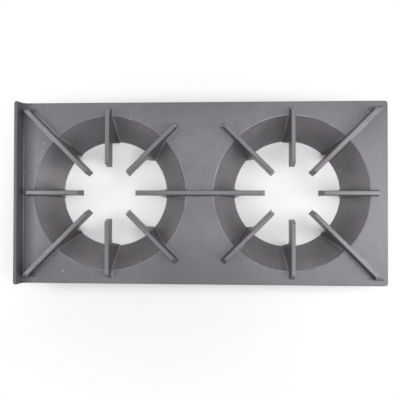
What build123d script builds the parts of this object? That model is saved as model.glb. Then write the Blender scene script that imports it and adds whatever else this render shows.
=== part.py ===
from build123d import *
from math import cos, hypot, radians, sin, tan
import os

# Two-burner hob pan support, one iron casting.
# A flat plate carries two conical bowls, open below for the burner heads. Drafted bars stand round each
# bowl like spokes and hold the pans on one level; the bar between the bowls is shared by both burners.
# A low upstand closes one short end.
# Frame: +X along the length and away from the upstand, +Z up, origin under the middle of the plate on the
# level of the bowls' bottom rims. Millimetres and degrees.

# Plate and bowls
rim_radius = 127.3  # mouth of a bowl, where the plate's top breaks into the cone
hole_radius = 91.0  # open bottom of a bowl, round the burner head
bowl_depth = 43.0  # from the plate's top down to the bottom rim
wall = 6.0  # thickness of the plate and of the bowls
side_land = 22.7  # plate between a bowl's mouth and the long edge
end_land = 26.7  # plate between a bowl's mouth and the short edge
mid_land = 45.4  # plate between the two mouths
corner_radius = 5.0  # plan corners of the plate
edge_round = 1.5  # upper edge of the plate
rim_bevel = 0.8  # edge of a bowl's mouth
throat_bevel = 4.0  # under the plate, where a bowl hangs from it
lip_bevel = 1.5  # outer edge of a bowl's bottom rim

# Bars
bar_rise = 15.0  # pan level above the plate's top
bar_top_width = 6.6
bar_draft = 4.0  # lean of each side, which lets the casting leave its mould
diagonal_turn = 45.0  # a diagonal bar from the length
side_margin = 10.0  # plate left between the foot of a bar and the long edge
end_margin = 13.5  # plate left between the foot of a bar and the short edge
inner_reach = 32.2  # foot of a diagonal bar past the mouth, towards the middle of the plate
end_run = 7.5  # slope of an outer end over the height of the bar, square to that end
tip_radius = 48.0  # clear circle between the tips at pan level
tip_depth = 18.0  # height of a bar where it hangs free over the hole
tip_run = 5.0  # slope of a tip's face, over its height
web_inset = 1.5  # foot of the web inside the hole's edge
web_lean = 7.0  # lean of the web's inner edge, from its foot up to the free bar
web_round = 4.0  # hollow under the root of the free bar
foot_round = 3.0  # hollow along the foot of each bar
crest_round = 1.3  # upper edges of a bar

# Upstand
upstand_rise = 14.3  # above the plate's top
upstand_top = 5.0
upstand_lean = 4.0  # how far its inner face leans out at the foot
upstand_foot_round = 2.5
upstand_round = 1.4  # its upper edges

# Places that follow from the sizes above
width = 2 * (rim_radius + side_land)
burner_x = rim_radius + mid_land / 2
length = 2 * (burner_x + rim_radius + end_land)
plate_top = bowl_depth
plate_bottom = plate_top - wall
plate_middle = plate_top - wall / 2
bar_top = plate_top + bar_rise
tip_bottom = bar_top - tip_depth
side_foot = width / 2 - side_margin
end_foot = rim_radius + end_land - end_margin
bowl_run = rim_radius - hole_radius
level_wall = wall * hypot(bowl_run, bowl_depth) / bowl_depth  # bowl wall, measured level
web_foot = hole_radius - web_inset
web_root = web_foot - web_lean
upstand_foot = upstand_top + upstand_lean
upstand_toe = upstand_foot + 2 * upstand_foot_round


def bowl_radius(z):
    """Inner radius of a bowl at height z."""
    return hole_radius + bowl_run * z / bowl_depth


def bar_on_strip(foot_end, end_turn=0.0, joined=False):
    """A bar along +X from its burner's axis: a full-depth blade on a strip of wall, with a hollow foot.

    The strip is flat. It touches the bowl's surface under the middle of the bar and lies inside the wall
    beside it. foot_end is where the bar's outer end meets the plate's top. The end slopes, and end_turn
    turns it about Z. A joined bar is cut off upright there, to meet its mirror image.
    """
    foot_width = bar_top_width + 2 * bar_top * tan(radians(bar_draft))
    strip_width = foot_width + 4 * foot_round
    strip_end = foot_end if joined else foot_end + 2 * foot_round
    long_end = foot_end + bar_top + strip_width
    turn = radians(end_turn)
    outward = Vector(cos(turn), sin(turn), 0)
    slope = 0 if joined else end_run
    end_plane = Plane((foot_end, 0, plate_top), z_dir=outward * bar_rise + Vector(0, 0, slope))
    tip_plane = Plane((tip_radius, 0, bar_top), z_dir=(tip_depth, 0, -tip_run))
    with BuildPart() as blade:
        with BuildSketch(Plane.YZ):
            Trapezoid(foot_width, bar_top, 90 - bar_draft, align=(Align.CENTER, Align.MIN))
        extrude(amount=long_end)
        with BuildSketch(Plane.XZ):
            with BuildLine():
                Polyline(
                    (0, 0),
                    (hole_radius + level_wall / 4, 0),
                    (bowl_radius(plate_middle) + level_wall / 4, plate_middle),
                    (long_end, plate_middle),
                    (long_end, bar_top),
                    (0, bar_top),
                    close=True,
                )
            make_face()
        extrude(amount=foot_width, both=True, mode=Mode.INTERSECT)
        split(bisect_by=tip_plane, keep=Keep.TOP)
        split(bisect_by=end_plane, keep=Keep.BOTTOM)
    with BuildPart() as bar:
        with BuildSketch(Plane.XZ) as profile:
            with BuildLine():
                Polyline(
                    (hole_radius, 0),
                    (rim_radius, plate_top),
                    (long_end, plate_top),
                    (long_end, plate_middle),
                    (bowl_radius(plate_middle) + level_wall / 2, plate_middle),
                    (hole_radius + level_wall / 2, 0),
                    close=True,
                )
            make_face()
            chamfer(profile.vertices().sort_by_distance((rim_radius, plate_top))[0], 2 * rim_bevel)
        extrude(amount=strip_width / 2, both=True)
        split(bisect_by=Plane((strip_end, 0, 0), z_dir=outward), keep=Keep.BOTTOM)
        add(blade.part)
        fillet(bar.edges(Select.NEW).sort_by(Axis.X).sort_by(Axis.Y), foot_round)
    return bar.part


def outer_diagonal():
    """The bar towards a plate corner, its end parallel to the edge whose margin it meets first."""
    along_side = side_foot / sin(radians(diagonal_turn))
    along_end = end_foot / cos(radians(diagonal_turn))
    if along_side < along_end:
        return bar_on_strip(along_side, 90 - diagonal_turn)
    return bar_on_strip(along_end, -diagonal_turn)


# All bars: half of one bowl's, mirrored over the length, then those on the length, then the other bowl's
with BuildPart() as bars:
    with Locations(Location((burner_x, 0, 0), (0, 0, diagonal_turn))):
        add(outer_diagonal())
    with Locations(Location((burner_x, 0, 0), (0, 0, 90))):
        add(bar_on_strip(side_foot))
    with Locations(Location((burner_x, 0, 0), (0, 0, 180 - diagonal_turn))):
        add(bar_on_strip(rim_radius + inner_reach))
    mirror(about=Plane.XZ)
    with Locations(Location((burner_x, 0, 0), (0, 0, 0))):
        add(bar_on_strip(end_foot))
    with Locations(Location((burner_x, 0, 0), (0, 0, 180))):
        add(bar_on_strip(burner_x, joined=True))
    mirror(about=Plane.YZ)
    fillet(bars.faces().group_by(Axis.Z)[-1].edges(), crest_round)
    # Strips end inside the rounded edge of the plate
    with BuildSketch(Plane.XY):
        Rectangle(length - 2 * edge_round, width - 2 * edge_round)
    extrude(amount=2 * bar_top, mode=Mode.INTERSECT)

# Upstand, drawn with its outer face at X = 0 and the hollow of its foot in its section
with BuildPart() as upstand:
    with BuildSketch(Plane.XZ) as section:
        with BuildLine():
            Polyline(
                (0, plate_middle),
                (0, plate_top + upstand_rise),
                (upstand_top, plate_top + upstand_rise),
                (upstand_foot, plate_top),
                (upstand_toe, plate_top),
                (upstand_toe, plate_middle),
                close=True,
            )
        make_face()
        fillet(section.vertices().sort_by_distance((upstand_foot, plate_top))[0], upstand_foot_round)
        fillet(section.vertices().group_by(Axis.Y)[-1], upstand_round)
    extrude(amount=width / 2, both=True)
    with BuildSketch(Plane.XY.offset(plate_middle)):
        with Locations((length / 2, 0)):
            RectangleRounded(length, width, corner_radius)
    extrude(amount=wall + upstand_rise, mode=Mode.INTERSECT)

with BuildPart() as pan_support:
    # Plate
    with BuildSketch(Plane.XY.offset(plate_bottom)):
        RectangleRounded(length, width, corner_radius)
    extrude(amount=wall)
    fillet(pan_support.faces().sort_by(Axis.Z)[-1].edges(), edge_round)

    # Bowls
    bowl_planes = [Plane((x, 0, 0), x_dir=(1, 0, 0), z_dir=(0, -1, 0)) for x in (-burner_x, burner_x)]
    for plane in bowl_planes:
        with BuildSketch(plane):
            with BuildLine():
                Polyline(
                    (0, 0),
                    (hole_radius + level_wall, 0),
                    (bowl_radius(plate_bottom) + level_wall, plate_bottom),
                    (0, plate_bottom),
                    close=True,
                )
            make_face()
        revolve(axis=Axis(plane.origin, (0, 0, 1)))
        with BuildSketch(plane):
            with BuildLine():
                Polyline((0, 0), (hole_radius, 0), (rim_radius, plate_top), (0, plate_top), close=True)
            make_face()
        revolve(axis=Axis(plane.origin, (0, 0, 1)), mode=Mode.SUBTRACT)
    circles = pan_support.edges().filter_by(GeomType.CIRCLE)
    circles = circles.filter_by(lambda edge: edge.radius > hole_radius + level_wall / 2).group_by(Axis.Z)
    for ring, bevel in ((0, lip_bevel), (1, throat_bevel), (2, rim_bevel)):
        chamfer(circles[ring], bevel)

    # Bars, then the space round each burner head, which leaves them free over the hole
    add(bars.part)
    for plane in bowl_planes:
        with BuildSketch(plane) as hollow:
            with BuildLine():
                Polyline((0, 0), (web_foot, 0), (web_root, tip_bottom), (0, tip_bottom), close=True)
            make_face()
            fillet(hollow.vertices().sort_by_distance((web_root, tip_bottom))[0], web_round)
        revolve(axis=Axis(plane.origin, (0, 0, 1)), mode=Mode.SUBTRACT)

    # Upstand
    with Locations((-length / 2, 0, 0)):
        add(upstand.part)

os.makedirs("parts", exist_ok=True)
pan_support.part.label = "pan_support"
export_step(pan_support.part, "parts/pan_support.step")
size = pan_support.part.bounding_box().size
print(f"pan_support: {size.X:.1f} x {size.Y:.1f} x {size.Z:.1f} mm, {pan_support.part.volume / 1000:.1f} cm3")
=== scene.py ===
from types import SimpleNamespace

import bpy
from mathutils import Matrix, Vector


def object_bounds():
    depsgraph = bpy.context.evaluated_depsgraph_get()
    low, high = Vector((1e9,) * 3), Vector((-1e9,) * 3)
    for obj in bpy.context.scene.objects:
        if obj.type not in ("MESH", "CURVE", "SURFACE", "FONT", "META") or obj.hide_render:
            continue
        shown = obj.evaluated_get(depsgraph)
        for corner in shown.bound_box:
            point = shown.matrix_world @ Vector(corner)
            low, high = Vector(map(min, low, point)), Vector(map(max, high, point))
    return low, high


# The casting as CAD made it, standing on the rims of its bowls and seen from above. Metres, in the part's
# frame: +X away from the upstand, -Y to the front, +Z up.
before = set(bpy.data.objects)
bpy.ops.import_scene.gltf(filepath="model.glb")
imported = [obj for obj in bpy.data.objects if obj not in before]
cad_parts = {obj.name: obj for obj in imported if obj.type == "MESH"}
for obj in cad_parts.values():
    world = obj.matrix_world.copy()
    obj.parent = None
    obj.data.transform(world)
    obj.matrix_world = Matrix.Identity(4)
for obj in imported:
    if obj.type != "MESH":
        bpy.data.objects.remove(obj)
cad_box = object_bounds()

# Places on the casting
BURNER_X = 0.150  # axis of a bowl, from the middle of the plate
PLATE_TOP = 0.043
PAN_LEVEL = 0.058  # tops of the bars
RIM_RADIUS = 0.1273  # mouth of a bowl
HOLE_RADIUS = 0.091  # open bottom of a bowl
UPSTAND_X = -0.292  # hollow at the foot of the upstand
BAR_END_Y = 0.140  # line on which the outer diagonals end

# Spans over which a mark comes or goes, by height
BOTTOM_RIM_Z = (0.001, 0.003)
FREE_BAR_Z = (0.030, 0.038)
BOWL_WALL_Z = (PLATE_TOP - 0.006, PLATE_TOP - 0.001)
MOUTH_LOW_Z = (PLATE_TOP - 0.0016, PLATE_TOP - 0.0008)
ON_PLATE_Z = (PLATE_TOP - 0.0004, PLATE_TOP)
OFF_PLATE_Z = (PLATE_TOP, PLATE_TOP + 0.0001)
MOUTH_HIGH_Z = (PLATE_TOP, PLATE_TOP + 0.0004)
BAR_END_Z = (PLATE_TOP, PLATE_TOP + 0.002)
TOE_Z = (PLATE_TOP + 0.002, PLATE_TOP + 0.003)
HOLLOW_Z = (PLATE_TOP + 0.002, PLATE_TOP + 0.004)
UPSTAND_CREST_Z = (PAN_LEVEL - 0.004, PAN_LEVEL - 0.001)
BAR_TOP_Z = (PAN_LEVEL - 0.0016, PAN_LEVEL - 0.0004)

# By place along the length, and by distance from its middle
UPSTAND_FOOT_X = (UPSTAND_X - 0.002, UPSTAND_X + 0.003)
OFF_UPSTAND_X = (UPSTAND_X, UPSTAND_X + 0.002)
UPSTAND_DARKENING_X = (UPSTAND_X + 0.005, UPSTAND_X + 0.024)
END_LIGHT_X = (-0.20, 0.20)
MOUTH_LINE_X = (-0.03, 0.03)
EDGE_DARKENING_OFF_MIDDLE = (0.04, 0.16)
TOP_WEAR_OFF_MIDDLE = (0.10, 0.24)
OUTER_END_OFF_MIDDLE = (0.20, 0.24)

# By place across the width, and by distance from its middle line
FRONT_BARS_Y = (-0.07, -0.05)
END_LIGHT_Y = (-0.05, 0.05)
HOLLOW_SHADE_Y = (-0.05, 0.05)
OUTER_END_OFF_LINE = (0.02, 0.10)
EDGE_DARKENING_OFF_LINE = (0.065, 0.155)
EDGE_DARKENING_SHIFT = 0.015  # line between the two darker edges, from the middle line

# By distance from a burner's axis
HEAT_RADIUS = (0.055, 0.120)
BOTTOM_RIM_RADIUS = (HOLE_RADIUS + 0.0006, HOLE_RADIUS + 0.0016)
HOLLOW_RADIUS = (RIM_RADIUS - 0.004, RIM_RADIUS + 0.002)
BAND_RADIUS = (RIM_RADIUS, RIM_RADIUS + 0.006)
TOE_RADIUS = (0.160, 0.180)
MOUTH_OFF_RIM = (0.0004, 0.0011)

# By distance from an outer diagonal's middle, across the width, and from the line of its end
BESIDE_BAR = (0.004, 0.007)
BAND_EDGE = (0.011, 0.016)
FLARE_EDGE = (0.013, 0.025)
FLARE_SLANT = 1.6  # how fast the flare narrows away from the end
BAR_END_LINE = (-0.0015, 0.0008)

# By the upward part of the normal. A pair has one span to come in and one to go out
FLANK_UP = (0.12, 0.34)
HOLLOW_UP = (0.60, 0.92)
BAR_END_UP = ((0.36, 0.42), (0.47, 0.53))
BOWL_TOE_UP = ((0.46, 0.56), (0.625, 0.640))
PLATE_TOE_UP = ((0.76, 0.86), (0.985, 0.997))

# Smudges: their stretch round a bowl and down its wall, and a shift that makes the two bowls differ
SMUDGE_ROUND = 5.5
SMUDGE_DOWN = 9.0
SMUDGE_SHIFT = 7.3

# Strengths of marks
CREST_DARKENING = 0.75
END_LIGHT_STRENGTH = 0.8
SIDE_DARKENING = 0.6
DUST_STRENGTH = 0.75
CRUMB_STRENGTH = 0.55
PINHOLE_STRENGTH = 0.6

# Skin of the enamel
BEVEL_RADIUS = 0.0012
BEVEL_SAMPLES = 6
BUMP_DEPTH = 0.00035
BUMP_STRENGTH = 0.55
PEEL_SHARE = 0.6
SAND_SHARE = 0.45
PIT_SHARE = 0.8
STAIN_DULLING = 0.10
UPSTAND_DULLING = 0.30

# Camera, nearly straight above
CAMERA_PLACE = Vector((0.02437, -0.01840, 0.67613))
CAMERA_TILT_X = 0.0110
CAMERA_TILT_Y = 0.0375
CAMERA_ROLL = 0.0019
CAMERA_NEAR = 0.01
FOCAL_PIXELS = 386.41
IMAGE_PIXELS = 400
SENSOR_MM = 36.0

# Soft lamps: name, place, side length, watts
LAMPS = (
    ("top_lamp", (0.0, 0.0, 1.4), 1.6, 7.7),
    ("right_top_lamp", (0.5, 0.0, 1.2), 0.8, 3.7),
    ("left_lamp", (-0.70, 0.0, 0.5), 0.4, 2.5),
    ("right_lamp", (0.62, -0.10, 0.5), 0.4, 1.4),
    ("far_right_lamp", (1.5, -0.35, 0.7), 0.9, 9.0),
    ("back_lamp", (0.0, 1.8, 0.55), 1.0, 9.5),
)
AMBIENT = 0.15

# Floor, and how its lift to plain white grows away from the object
FLOOR_SIDE = 8.0
LIFT_STRETCH = (0.6, 1.0, 1.0)
LIFT_SHIFT = (0.0, 0.06, 0.0)
LIFT_DISTANCE = (0.14, 0.35)
LIFT_LEAST = 0.10

# Shares of red, green and blue in the greys
COOL = (1.02, 1.0, 1.13)
MILD = (1.03, 1.0, 1.07)
WARM = (1.06, 1.0, 1.01)
RUSTY = (1.28, 1.0, 0.84)
PLAIN = (1.0, 1.0, 1.0)


def grey(value, tint):
    """A linear grey of one tint."""
    return tuple(value * share for share in tint) + (1.0,)


ENAMEL_DARK = grey(0.124, COOL)
ENAMEL_PALE = grey(0.150, COOL)
ENAMEL_PATCH = grey(0.100, COOL)
ENAMEL_GRAIN = grey(0.190, MILD)
# Darker grey: dirt with painted shade at the upstand, and the darkening towards the long edges
DARKENING_GREY = grey(0.066, COOL)
STAIN = grey(0.145, WARM)
SMUDGE = grey(0.21, WARM)
WORN_TOP = grey(0.205, MILD)
# Painted light on the sloped outer ends of the bars
END_LIGHT_GREY = grey(0.26, MILD)
HEATED = grey(0.105, WARM)
# Soot with painted shade on the steep sides
SOOT_AND_SHADE = grey(0.05, MILD)
RUST = grey(0.07, RUSTY)
# Grime with painted shade in the foot hollows
GRIME_AND_SHADE = grey(0.038, MILD)
# Painted shadow at the ends of the outer diagonals
END_SHADOW_GREY = grey(0.010, MILD)
# Rubbed edges with painted highlight
RUBBED_AND_HIGHLIT_EDGE = grey(0.225, MILD)
# Painted highlight lines, with wear along the bowls' rims
WEAR_AND_HIGHLIGHT_GREY = grey(0.36, MILD)
DUST = grey(0.62, PLAIN)
CRUMB = grey(0.45, PLAIN)
PINHOLE = grey(0.042, WARM)
FLOOR_WHITE = grey(0.92, PLAIN)
WHITE = grey(1.0, PLAIN)


class Nodes:
    """A node tree with short calls. A socket that is passed in is linked, and any other value is set."""

    def __init__(self, tree):
        self.tree = tree
        tree.nodes.clear()

    def add(self, kind, inputs=None, **properties):
        node = self.tree.nodes.new(kind)
        for name, value in properties.items():
            setattr(node, name, value)
        for key, value in (inputs or {}).items():
            if isinstance(value, bpy.types.NodeSocket):
                self.tree.links.new(value, node.inputs[key])
            else:
                node.inputs[key].default_value = value
        return node

    def math(self, operation, a, b=0.0):
        return self.add("ShaderNodeMath", {0: a, 1: b}, operation=operation).outputs[0]

    def product(self, first, *others):
        for other in others:
            first = self.math("MULTIPLY", first, other)
        return first

    def greatest(self, first, *others):
        for other in others:
            first = self.math("MAXIMUM", first, other)
        return first

    def ramp(self, value, span, start, end):
        """start up to the span, end past it, and smoothly from one to the other within."""
        inputs = {"Value": value, "From Min": span[0], "From Max": span[1], "To Min": start, "To Max": end}
        return self.add("ShaderNodeMapRange", inputs, interpolation_type="SMOOTHSTEP").outputs["Result"]

    def rise(self, value, span, least=0.0, most=1.0):
        return self.ramp(value, span, least, most)

    def fall(self, value, span, most=1.0, least=0.0):
        return self.ramp(value, span, most, least)

    def between(self, value, rising, falling, most=1.0):
        return self.product(self.rise(value, rising), self.fall(value, falling, most))

    def noise(self, vector, scale, detail, roughness, distortion=0.0):
        inputs = {"Vector": vector, "Scale": scale, "Detail": detail, "Roughness": roughness,
                  "Distortion": distortion}
        return self.add("ShaderNodeTexNoise", inputs).outputs["Fac"]

    def specks(self, vector, scale, channel, drawn, size):
        """Round dots in those random cells whose colour channel lies past the span drawn."""
        cells = self.add("ShaderNodeTexVoronoi", {"Vector": vector, "Scale": scale})
        draw = self.add("ShaderNodeSeparateColor", {0: cells.outputs["Color"]}).outputs[channel]
        return self.product(self.rise(draw, drawn), self.fall(cells.outputs["Distance"], size))

    def blend(self, factor, a, b):
        """Colour a towards colour b, through the colour sockets of a Mix node."""
        return self.add("ShaderNodeMix", {0: factor, 6: a, 7: b}, data_type="RGBA").outputs[2]


def places(n):
    """Where a point lies on the casting, how its surface faces, and what several marks share."""
    place = n.add("ShaderNodeTexCoord").outputs["Object"]
    x, y, z = n.add("ShaderNodeSeparateXYZ", {0: place}).outputs
    facing = n.add("ShaderNodeNewGeometry").outputs["Normal"]
    up = n.add("ShaderNodeSeparateXYZ", {0: facing}).outputs[2]
    off_middle = n.math("ABSOLUTE", x)
    off_line = n.math("ABSOLUTE", y)
    from_axis = n.math("SUBTRACT", off_middle, BURNER_X)
    on_plate = n.rise(z, ON_PLATE_Z)
    off_bar = n.math("SUBTRACT", off_line, from_axis)
    past_end = n.math("SUBTRACT", off_line, BAR_END_Y)
    return SimpleNamespace(
        place=place, x=x, y=y, z=z, facing=facing, up=up, off_middle=off_middle, off_line=off_line,
        from_axis=from_axis, on_plate=on_plate, off_bar=off_bar, past_end=past_end,
        radius=n.math("SQRT", n.math("ADD", n.product(from_axis, from_axis), n.product(y, y))),
        cloud=n.noise(place, scale=11.0, detail=5.0, roughness=0.6),
        patch=n.noise(place, scale=55.0, detail=4.0, roughness=0.6),
        in_bowl=n.fall(z, BOWL_WALL_Z),
        off_upstand=n.rise(x, OFF_UPSTAND_X),
        flank=n.fall(n.math("ABSOLUTE", up), FLANK_UP),
        beside=n.product(n.rise(off_bar, BESIDE_BAR), n.fall(past_end, BAR_END_LINE), on_plate),
        rounded=n.add("ShaderNodeBevel", {"Radius": BEVEL_RADIUS}, samples=BEVEL_SAMPLES).outputs[0],
    )


def enamel(n, at):
    """A cool grey, cloudy at two scales, with a fine grain."""
    grain = n.noise(at.place, scale=520.0, detail=3.0, roughness=0.6)
    colour = n.blend(n.rise(at.cloud, (0.3, 0.7)), ENAMEL_DARK, ENAMEL_PALE)
    colour = n.blend(n.rise(at.patch, (0.42, 0.75), most=0.35), colour, ENAMEL_PATCH)
    return n.blend(n.rise(grain, (0.55, 0.75), most=0.25), colour, ENAMEL_GRAIN)


def upstand_dirt_and_shade(n, at):
    """Dirt and painted shade: thick on the face of the upstand, thinner in the corner below it and on its
    crest.
    """
    face = n.fall(at.x, UPSTAND_FOOT_X, least=0.80)
    return n.product(n.fall(at.x, UPSTAND_DARKENING_X), n.ramp(at.z, UPSTAND_CREST_Z, face, CREST_DARKENING))


def edge_darkening(n, at):
    """Darker towards the long edges, most of it between the burners."""
    off_lightest = n.math("ABSOLUTE", n.math("SUBTRACT", at.y, EDGE_DARKENING_SHIFT))
    thinner = n.fall(at.off_middle, EDGE_DARKENING_OFF_MIDDLE, most=0.60, least=0.20)
    return n.product(n.rise(off_lightest, EDGE_DARKENING_OFF_LINE), thinner)


def stains(n, at):
    """Heat and spills in the bowls, warm and uneven."""
    uneven = n.noise(at.place, scale=24.0, detail=4.0, roughness=0.65, distortion=0.4)
    return n.product(at.in_bowl, n.rise(uneven, (0.40, 0.66), least=0.25, most=0.9))


def smudges(n, at):
    """Pale smudges that run down the walls of the bowls."""
    turn = n.math("ARCTAN2", at.y, at.from_axis)
    polar = {0: n.product(turn, SMUDGE_ROUND), 1: n.product(at.z, SMUDGE_DOWN),
             2: n.product(n.math("SIGN", at.x), SMUDGE_SHIFT)}
    unrolled = n.add("ShaderNodeCombineXYZ", polar).outputs[0]
    streak = n.noise(unrolled, scale=3.2, detail=3.0, roughness=0.55)
    return n.product(at.in_bowl, n.rise(streak, (0.56, 0.74), most=0.35))


def worn_tops(n, at):
    """Tops of the bars, rubbed by pans, more so towards the ends of the plate."""
    top = n.product(n.rise(at.z, BAR_TOP_Z), at.off_upstand)
    by_place = n.rise(at.off_middle, TOP_WEAR_OFF_MIDDLE, least=0.05, most=0.80)
    return n.product(top, n.rise(at.patch, (0.30, 0.6), least=0.5), by_place)


def painted_light_on_ends(n, at):
    """Painted light on the sloped outer ends of the bars, most at the back long edge and at the end
    without the upstand.
    """
    slope = n.product(n.between(at.up, *BAR_END_UP), n.rise(at.z, BAR_END_Z))
    outer = n.product(n.rise(at.x, END_LIGHT_X, least=0.6),
                      n.rise(at.off_line, OUTER_END_OFF_LINE, least=0.55))
    lit_share = n.ramp(at.off_middle, OUTER_END_OFF_MIDDLE, n.rise(at.y, END_LIGHT_Y), outer)
    return n.product(slope, lit_share, END_LIGHT_STRENGTH)


def heat(n, at):
    """Bars darkened over the flame, most at their tips."""
    return n.product(n.fall(at.radius, HEAT_RADIUS, most=0.65), n.rise(at.z, FREE_BAR_Z))


def rust(n, at):
    """Patches of rust on the sides of the bars."""
    patchy = n.noise(at.place, scale=17.0, detail=3.0, roughness=0.6)
    return n.product(at.flank, n.rise(patchy, (0.52, 0.70), most=0.55))


def foot_grime_and_shade(n, at):
    """Grime and painted shade in the hollows along the bars' feet, darker in front, and a painted shadow
    in a thin band beside the front outer diagonals.
    """
    hollow = n.product(n.fall(at.up, HOLLOW_UP), at.on_plate, n.fall(at.z, HOLLOW_Z))
    hollow = n.product(hollow, n.rise(at.radius, HOLLOW_RADIUS), n.rise(at.patch, (0.35, 0.60), least=0.6))
    hollow = n.product(hollow, n.fall(at.y, HOLLOW_SHADE_Y, most=0.95, least=0.65))
    band = n.product(at.beside, n.fall(at.off_bar, BAND_EDGE), n.rise(at.radius, BAND_RADIUS))
    return n.greatest(hollow, n.product(band, n.fall(at.y, FRONT_BARS_Y, most=0.40)))


def painted_end_shadows(n, at):
    """Painted shadow in the angle between an outer diagonal and the line of its end, darker in front."""
    spread = n.math("SUBTRACT", at.off_bar, n.product(at.past_end, FLARE_SLANT))
    strength = n.fall(at.y, FRONT_BARS_Y, most=0.95, least=0.75)
    return n.product(at.beside, n.fall(spread, FLARE_EDGE, most=strength))


def rubbed_and_highlit_edges(n, at):
    """Edges made paler unevenly, partly wear and partly painted highlight, found where a rounded normal
    leaves the true one.
    """
    turned = {0: at.rounded, 1: at.facing}
    bend = n.add("ShaderNodeVectorMath", turned, operation="DOT_PRODUCT").outputs["Value"]
    uneven = n.rise(at.patch, (0.3, 0.6), least=0.3)
    return n.product(n.fall(bend, (0.80, 0.985), most=0.40), uneven, at.off_upstand)


def wear_and_highlight_lines(n, at):
    """Broken pale lines: painted highlights along the toes of the foot hollows, and wear with painted
    highlight along the mouths and bottom rims of the bowls.
    """
    plate_toes = n.product(n.between(at.up, *PLATE_TOE_UP, most=0.6), n.between(at.z, OFF_PLATE_Z, TOE_Z))
    plate_toes = n.product(plate_toes, n.fall(at.radius, TOE_RADIUS))
    bowl_toes = n.product(n.between(at.up, *BOWL_TOE_UP), at.in_bowl)
    off_rim = n.math("ABSOLUTE", n.math("SUBTRACT", at.radius, RIM_RADIUS))
    mouth = n.product(n.fall(off_rim, MOUTH_OFF_RIM), n.between(at.z, MOUTH_LOW_Z, MOUTH_HIGH_Z))
    mouth = n.product(mouth, n.rise(at.x, MOUTH_LINE_X, least=0.55))
    bottom_rim = n.product(n.fall(at.radius, BOTTOM_RIM_RADIUS), n.fall(at.z, BOTTOM_RIM_Z))
    gaps = n.noise(at.place, scale=30.0, detail=2.0, roughness=0.5)
    lines = n.greatest(plate_toes, bowl_toes, mouth, bottom_rim)
    return n.product(lines, n.rise(gaps, (0.38, 0.62), least=0.10, most=0.58))


def skin(n, at, pits):
    """Sand grain over a slow orange peel, with the pits."""
    peel = n.noise(at.place, scale=190.0, detail=2.0, roughness=0.5)
    sand = n.noise(at.place, scale=850.0, detail=4.0, roughness=0.65)
    height = n.math("ADD", n.product(peel, PEEL_SHARE), n.product(sand, SAND_SHARE))
    height = n.math("SUBTRACT", height, n.product(pits, PIT_SHARE))
    bump = {"Height": height, "Strength": BUMP_STRENGTH, "Distance": BUMP_DEPTH, "Normal": at.rounded}
    return n.add("ShaderNodeBump", bump).outputs[0]


def enamelled_iron():
    """Satin grey enamel on cast iron, with the marks of use and painted light and shade laid over it one
    by one.
    """
    material = bpy.data.materials.new("enamelled_iron")
    material.use_nodes = True
    n = Nodes(material.node_tree)
    at = places(n)
    corner = upstand_dirt_and_shade(n, at)
    stained = stains(n, at)
    dust = n.specks(at.place, scale=62.0, channel=0, drawn=(0.80, 0.82), size=(0.045, 0.085))
    crumbs = n.specks(at.place, scale=130.0, channel=2, drawn=(0.72, 0.74), size=(0.07, 0.15))
    pits = n.specks(at.place, scale=95.0, channel=1, drawn=(0.80, 0.82), size=(0.04, 0.10))
    marks = (
        (n.greatest(corner, edge_darkening(n, at)), DARKENING_GREY),
        (stained, STAIN),
        (smudges(n, at), SMUDGE),
        (worn_tops(n, at), WORN_TOP),
        (painted_light_on_ends(n, at), END_LIGHT_GREY),
        (heat(n, at), HEATED),
        # Steep sides darkened: soot and painted shade
        (n.product(at.flank, SIDE_DARKENING), SOOT_AND_SHADE),
        (rust(n, at), RUST),
        (foot_grime_and_shade(n, at), GRIME_AND_SHADE),
        (painted_end_shadows(n, at), END_SHADOW_GREY),
        (rubbed_and_highlit_edges(n, at), RUBBED_AND_HIGHLIT_EDGE),
        (wear_and_highlight_lines(n, at), WEAR_AND_HIGHLIGHT_GREY),
        (n.product(dust, DUST_STRENGTH), DUST),
        (n.product(crumbs, n.rise(at.cloud, (0.48, 0.60)), CRUMB_STRENGTH), CRUMB),
        (n.product(pits, PINHOLE_STRENGTH), PINHOLE),
    )
    colour = enamel(n, at)
    for mask, paint in marks:
        colour = n.blend(mask, colour, paint)

    satin = n.rise(at.cloud, (0.3, 0.7), least=0.27, most=0.35)
    rough = n.math("ADD", satin, n.product(stained, STAIN_DULLING))
    rough = n.math("ADD", rough, n.product(corner, UPSTAND_DULLING))
    surface = {"Base Color": colour, "Roughness": rough, "Normal": skin(n, at, pits)}
    shader = n.add("ShaderNodeBsdfPrincipled", surface)
    n.add("ShaderNodeOutputMaterial", {"Surface": shader.outputs[0]})
    return material


def shown_to(n):
    """1 for the camera, reflections and clear materials, 0 for light that falls on things."""
    path = n.add("ShaderNodeLightPath").outputs
    return n.greatest(path["Is Camera Ray"], path["Is Glossy Ray"], path["Is Transmission Ray"])


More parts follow.
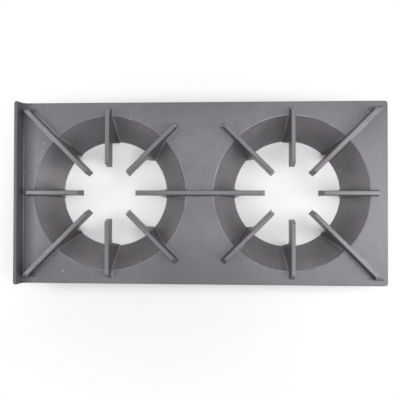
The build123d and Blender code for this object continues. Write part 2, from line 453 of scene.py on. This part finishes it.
def pale_floor():
    """Matte white that keeps the object's shadow, lifted to plain white away from the object."""
    material = bpy.data.materials.new("pale_floor")
    material.use_nodes = True
    n = Nodes(material.node_tree)
    matte = n.add("ShaderNodeBsdfDiffuse", {"Color": FLOOR_WHITE}).outputs[0]
    white = n.add("ShaderNodeEmission", {"Color": WHITE, "Strength": 1.0}).outputs[0]
    place = n.add("ShaderNodeTexCoord").outputs["Object"]
    drawn_in = {0: place, 1: LIFT_STRETCH, 2: LIFT_SHIFT}
    offset = n.add("ShaderNodeVectorMath", drawn_in, operation="MULTIPLY_ADD").outputs[0]
    distance = n.add("ShaderNodeVectorMath", {0: offset}, operation="LENGTH").outputs["Value"]
    lift = n.product(shown_to(n), n.rise(distance, LIFT_DISTANCE, least=LIFT_LEAST))
    surface = n.add("ShaderNodeMixShader", {0: lift, 1: matte, 2: white}).outputs[0]
    n.add("ShaderNodeOutputMaterial", {"Surface": surface})
    return material


def studio():
    """Floor, a white surround and soft lamps."""
    bpy.ops.mesh.primitive_plane_add(size=FLOOR_SIDE, location=(0, 0, cad_box[0][2]))
    floor = bpy.context.object
    floor.name = "floor"
    floor.data.materials.append(pale_floor())

    world = bpy.data.worlds.new("surround")
    bpy.context.scene.world = world
    world.use_nodes = True
    n = Nodes(world.node_tree)
    strength = n.rise(shown_to(n), (0.0, 1.0), least=AMBIENT)
    sky = n.add("ShaderNodeBackground", {"Color": WHITE, "Strength": strength}).outputs[0]
    n.add("ShaderNodeOutputWorld", {"Surface": sky})

    for name, place, side, watts in LAMPS:
        light = bpy.data.lights.new(name, "AREA")
        light.size = side
        light.energy = watts
        lamp = bpy.data.objects.new(name, light)
        lamp.location = place
        lamp.rotation_euler = (-Vector(place)).to_track_quat("-Z", "Y").to_euler()
        bpy.context.collection.objects.link(lamp)


def camera():
    """A plain lens where the photograph was taken from."""
    data = bpy.data.cameras.new("camera")
    data.sensor_width = SENSOR_MM
    data.lens = FOCAL_PIXELS / IMAGE_PIXELS * SENSOR_MM
    data.clip_start = CAMERA_NEAR
    eye = bpy.data.objects.new("camera", data)
    turn = Matrix.Rotation(CAMERA_ROLL, 4, "Z") @ Matrix.Rotation(CAMERA_TILT_X, 4, "X")
    turn = turn @ Matrix.Rotation(CAMERA_TILT_Y, 4, "Y")
    eye.matrix_world = Matrix.Translation(CAMERA_PLACE) @ turn
    bpy.context.collection.objects.link(eye)
    bpy.context.scene.camera = eye


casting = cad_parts["pan_support"]
casting.data.materials.clear()
casting.data.materials.append(enamelled_iron())
studio()
camera()
bpy.context.scene.view_settings.view_transform = "Standard"
